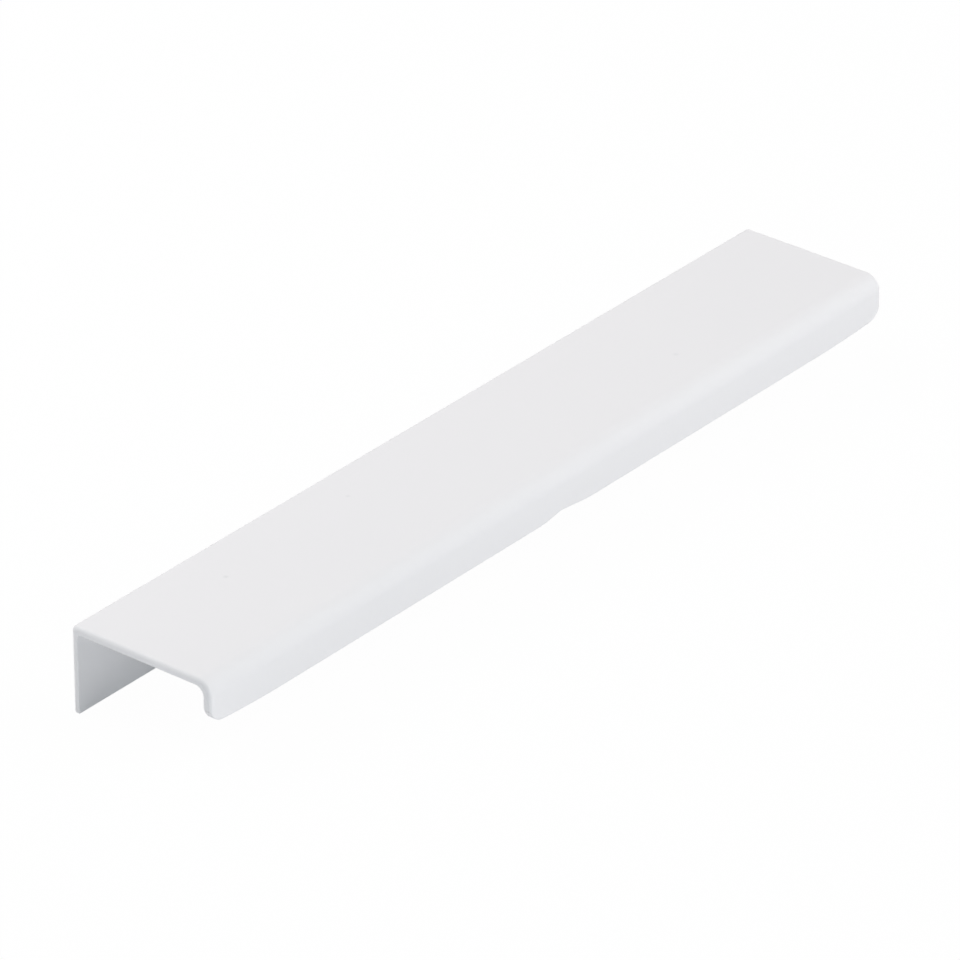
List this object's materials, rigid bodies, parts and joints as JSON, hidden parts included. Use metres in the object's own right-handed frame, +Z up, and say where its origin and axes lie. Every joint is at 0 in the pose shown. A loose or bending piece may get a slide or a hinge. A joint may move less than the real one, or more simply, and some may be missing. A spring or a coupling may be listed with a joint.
{
  "type": "lip pull",
  "caption": "Slim folded-profile pull that hooks over a drawer or door edge, with a rounded front lip and a rear flange for screws.",
  "frame": {"origin": "midway between the two screw holes, on the flange face that meets the rear of the furniture front", "axes": "+X along the pull, -Y out of the flange's mounting face towards the room and the front lip, +Z up"},
  "size_m": [0.2, 0.0328, 0.018],
  "materials": {
    "white_coat": "satin white powder coat"
  },
  "bodies": {
    "root": {"lip_pull": "white_coat"}
  },
  "joints": []
}
